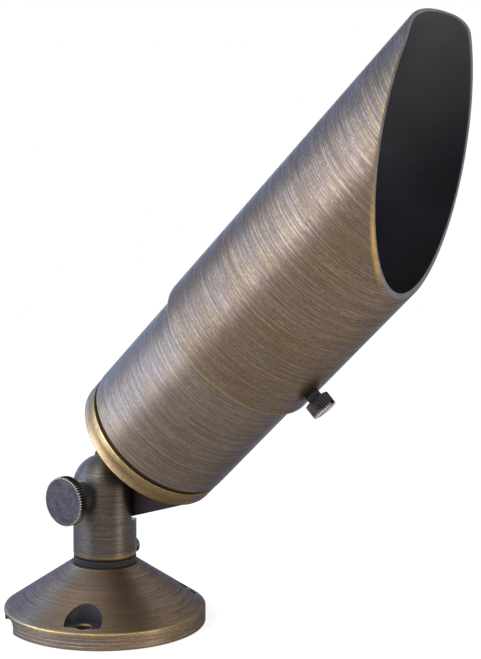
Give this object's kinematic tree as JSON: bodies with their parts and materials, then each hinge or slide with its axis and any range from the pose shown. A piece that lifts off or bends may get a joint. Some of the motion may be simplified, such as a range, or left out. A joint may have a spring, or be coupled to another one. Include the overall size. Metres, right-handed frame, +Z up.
{
  "type": "landscape spotlight",
  "caption": "Bronze landscape spotlight: conical screw-down base, swivel stem, tilting half-lap knuckle, tubular lamp head and a slant-cut glare shroud that turns and slides.",
  "frame": {"origin": "middle of the base's underside, on the stem's axis", "axes": "+Z up along the stem, tilt axis along Y with the thumbscrew on the -Y side, head points to +X"},
  "size_m": [0.1842, 0.076, 0.2274],
  "materials": {
    "bronze": "brushed antique bronze",
    "dark_bronze": "dark antique bronze",
    "gunmetal": "dark gunmetal bronze with worn knurling",
    "rubber": "matte black",
    "steel": "plain stainless",
    "ceramic": "unglazed ceramic",
    "lamp_metal": "satin reflector",
    "board": "white board",
    "emitter": "yellow phosphor",
    "clear_cover": "clear",
    "lens_glass": "clear tempered glass",
    "black_ring": "matte black"
  },
  "bodies": {
    "base": {"mounting_base": "bronze", "neck_gasket": "rubber"},
    "stem": {"stem": "bronze", "stem_locknut": "steel", "thumb_washer": "rubber", "knuckle_washer": "rubber"},
    "stem_lock": {"stem_lock_screw": "bronze"},
    "thumb": {"thumb_screw": "gunmetal"},
    "head": {"rear_cap": "dark_bronze", "wire_grommet": "rubber", "rear_gasket": "rubber", "body_tube": "bronze", "socket_bracket": "steel", "bracket_screws": "steel", "lamp_socket": "ceramic", "socket_screws": "steel", "lamp_pins": "steel", "lamp_body": "lamp_metal", "led_board": "board", "led_emitters": "emitter", "lamp_face": "clear_cover", "lens_gasket": "rubber", "front_lens": "lens_glass", "lens_retainer": "black_ring"},
    "slide_ring": {"shroud_oring": "rubber"},
    "shroud": {"shroud": "bronze"},
    "shroud_lock": {"shroud_lock_screw": "gunmetal"}
  },
  "joints": [
    {"name": "stem_swivel", "type": "hinge", "parent": "base", "child": "stem", "pos_m": [0, 0, 0.02568], "axis": [0, 0, 1], "range_deg": [-180, 180]},
    {"name": "head_tilt", "type": "hinge", "parent": "stem", "child": "head", "pos_m": [0, 0, 0.05], "axis": [0, -1, 0], "range_deg": [-6, 110]},
    {"name": "thumb_turn", "type": "hinge", "parent": "stem", "child": "thumb", "pos_m": [0, -0.0227, 0.05], "axis": [0, -1, 0], "range_deg": [0, 360]},
    {"name": "stem_lock_turn", "type": "hinge", "parent": "stem", "child": "stem_lock", "pos_m": [0.00328, 0.01144, 0.02738], "axis": [0.2756, 0.9613, 0], "range_deg": [0, 360]},
    {"name": "shroud_turn", "type": "hinge", "parent": "head", "child": "slide_ring", "pos_m": [0, 0, 0.05], "axis": [0.7193, 0, 0.6947], "continuous": true},
    {"name": "shroud_slide", "type": "slide", "parent": "slide_ring", "child": "shroud", "axis": [0.7193, 0, 0.6947], "range_m": [-0.03, 0.012]},
    {"name": "shroud_lock_turn", "type": "hinge", "parent": "shroud", "child": "shroud_lock", "pos_m": [0.0932, 0.00337, 0.09759], "axis": [0.6905, 0.1097, -0.715], "range_deg": [0, 360]}
  ]
}
